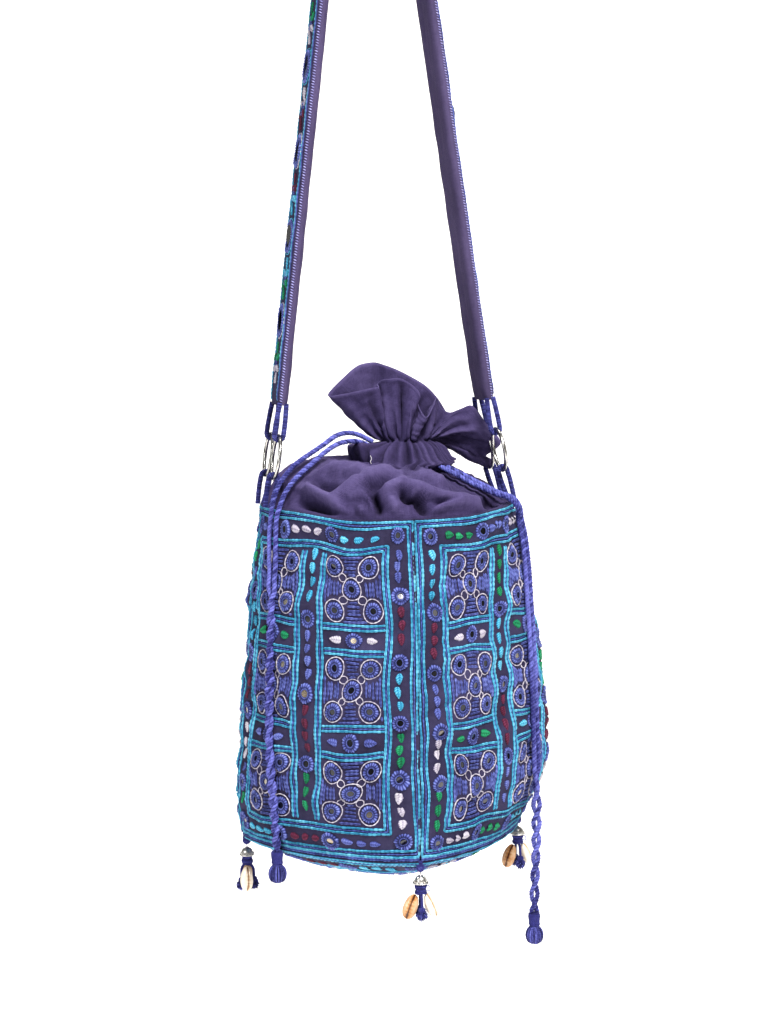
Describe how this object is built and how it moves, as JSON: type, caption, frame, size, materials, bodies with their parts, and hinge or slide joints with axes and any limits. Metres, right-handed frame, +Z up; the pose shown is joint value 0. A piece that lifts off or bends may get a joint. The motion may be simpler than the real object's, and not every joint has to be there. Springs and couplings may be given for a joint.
{
  "type": "potli bag",
  "caption": "Square embroidered drawstring potli bag hung by corner rings from a padded shoulder strap, with a gathered cotton top and shell tassels.",
  "frame": {"origin": "underside of the strap's crown, where the strap hangs on a peg", "axes": "+Z up, the bag hangs below the origin; +X along the line between the two ring corners, towards the right-hand rings; -Y towards the front corner seam"},
  "size_m": [0.2292, 0.2336, 0.8314],
  "materials": {
    "violet_cotton": "plain woven cotton, matt",
    "strap_cloth": "plain woven cotton with an embroidered outer face",
    "embroidered_cloth": "chain stitch and mirror work on violet cotton",
    "violet_thread": "twisted cotton thread, slight sheen",
    "ring_metal": "polished nickel plate",
    "cap_metal": "silver coloured metal, worn",
    "cowrie": "glossy natural shell"
  },
  "bodies": {
    "strap": {"strap_band": "strap_cloth", "strap_loop_left_front": "violet_thread", "strap_loop_left_back": "violet_thread", "strap_loop_right_front": "violet_thread", "strap_loop_right_back": "violet_thread"},
    "ring_left_front": {"ring_left_front": "ring_metal"},
    "ring_left_back": {"ring_left_back": "ring_metal"},
    "ring_right_front": {"ring_right_front": "ring_metal"},
    "ring_right_back": {"ring_right_back": "ring_metal"},
    "bag": {"panel_front_right": "embroidered_cloth", "panel_back_right": "embroidered_cloth", "panel_back_left": "embroidered_cloth", "panel_front_left": "embroidered_cloth", "base_panel": "embroidered_cloth", "inner_lining": "violet_cotton", "drawstring_collar": "violet_cotton", "bag_loop_left_front": "violet_thread", "bag_loop_left_back": "violet_thread", "bag_loop_right_front": "violet_thread", "bag_loop_right_back": "violet_thread", "drawstring_left_a": "violet_thread", "drawstring_left_b": "violet_thread", "drawstring_right_a": "violet_thread", "drawstring_right_b": "violet_thread", "drawstring_left_binding": "violet_thread", "drawstring_left_tassel": "violet_thread", "drawstring_right_binding": "violet_thread", "drawstring_right_tassel": "violet_thread", "tassel_front_knot": "violet_thread", "tassel_right_knot": "violet_thread", "tassel_back_knot": "violet_thread", "tassel_left_knot": "violet_thread"},
    "tassel_front": {"tassel_front_cap": "cap_metal", "tassel_front_band": "violet_thread", "tassel_front_shell_a": "cowrie", "tassel_front_shell_b": "cowrie", "tassel_front_pompom_a": "violet_thread", "tassel_front_pompom_b": "violet_thread"},
    "tassel_right": {"tassel_right_cap": "cap_metal", "tassel_right_band": "violet_thread", "tassel_right_shell_a": "cowrie", "tassel_right_shell_b": "cowrie", "tassel_right_pompom_a": "violet_thread", "tassel_right_pompom_b": "violet_thread"},
    "tassel_back": {"tassel_back_cap": "cap_metal", "tassel_back_band": "violet_thread", "tassel_back_shell_a": "cowrie", "tassel_back_shell_b": "cowrie", "tassel_back_pompom_a": "violet_thread", "tassel_back_pompom_b": "violet_thread"},
    "tassel_left": {"tassel_left_cap": "cap_metal", "tassel_left_band": "violet_thread", "tassel_left_shell_a": "cowrie", "tassel_left_shell_b": "cowrie", "tassel_left_pompom_a": "violet_thread", "tassel_left_pompom_b": "violet_thread"}
  },
  "joints": [
    {"name": "ring_left_front_swing", "type": "hinge", "parent": "strap", "child": "ring_left_front", "pos_m": [-0.07863, -0.0175, -0.46004], "axis": [1, 0, 0], "range_deg": [-20, 20]},
    {"name": "ring_left_back_swing", "type": "hinge", "parent": "strap", "child": "ring_left_back", "pos_m": [-0.07863, 0.0175, -0.46004], "axis": [1, 0, 0], "range_deg": [-20, 20]},
    {"name": "ring_right_front_swing", "type": "hinge", "parent": "strap", "child": "ring_right_front", "pos_m": [0.07863, -0.0175, -0.46004], "axis": [1, 0, 0], "range_deg": [-20, 20]},
    {"name": "ring_right_back_swing", "type": "hinge", "parent": "strap", "child": "ring_right_back", "pos_m": [0.07863, 0.0175, -0.46004], "axis": [1, 0, 0], "range_deg": [-20, 20]},
    {"name": "bag_level", "type": "hinge", "parent": "ring_left_front", "child": "bag", "pos_m": [-0.08337, -0.0175, -0.48996], "axis": [1, 0, 0], "range_deg": [-20, 20]},
    {"name": "tassel_front_swing", "type": "hinge", "parent": "bag", "child": "tassel_front", "pos_m": [-0.0042, -0.1078, -0.754], "axis": [-1, 0, 0], "range_deg": [-20, 75]},
    {"name": "tassel_right_swing", "type": "hinge", "parent": "bag", "child": "tassel_right", "pos_m": [0.0949, 0, -0.754], "axis": [0, -1, 0], "range_deg": [-20, 75]},
    {"name": "tassel_back_swing", "type": "hinge", "parent": "bag", "child": "tassel_back", "pos_m": [-0.0002, 0.107, -0.754], "axis": [1, 0, 0], "range_deg": [-20, 75]},
    {"name": "tassel_left_swing", "type": "hinge", "parent": "bag", "child": "tassel_left", "pos_m": [-0.1072, 0, -0.754], "axis": [0, 1, 0], "range_deg": [-20, 75]}
  ],
  "couplings": [
    {"joint": "ring_left_back_swing", "follows": "ring_left_front_swing", "ratio": 1},
    {"joint": "ring_right_front_swing", "follows": "ring_left_front_swing", "ratio": 1},
    {"joint": "ring_right_back_swing", "follows": "ring_left_front_swing", "ratio": 1},
    {"joint": "bag_level", "follows": "ring_left_front_swing", "ratio": -1}
  ]
}
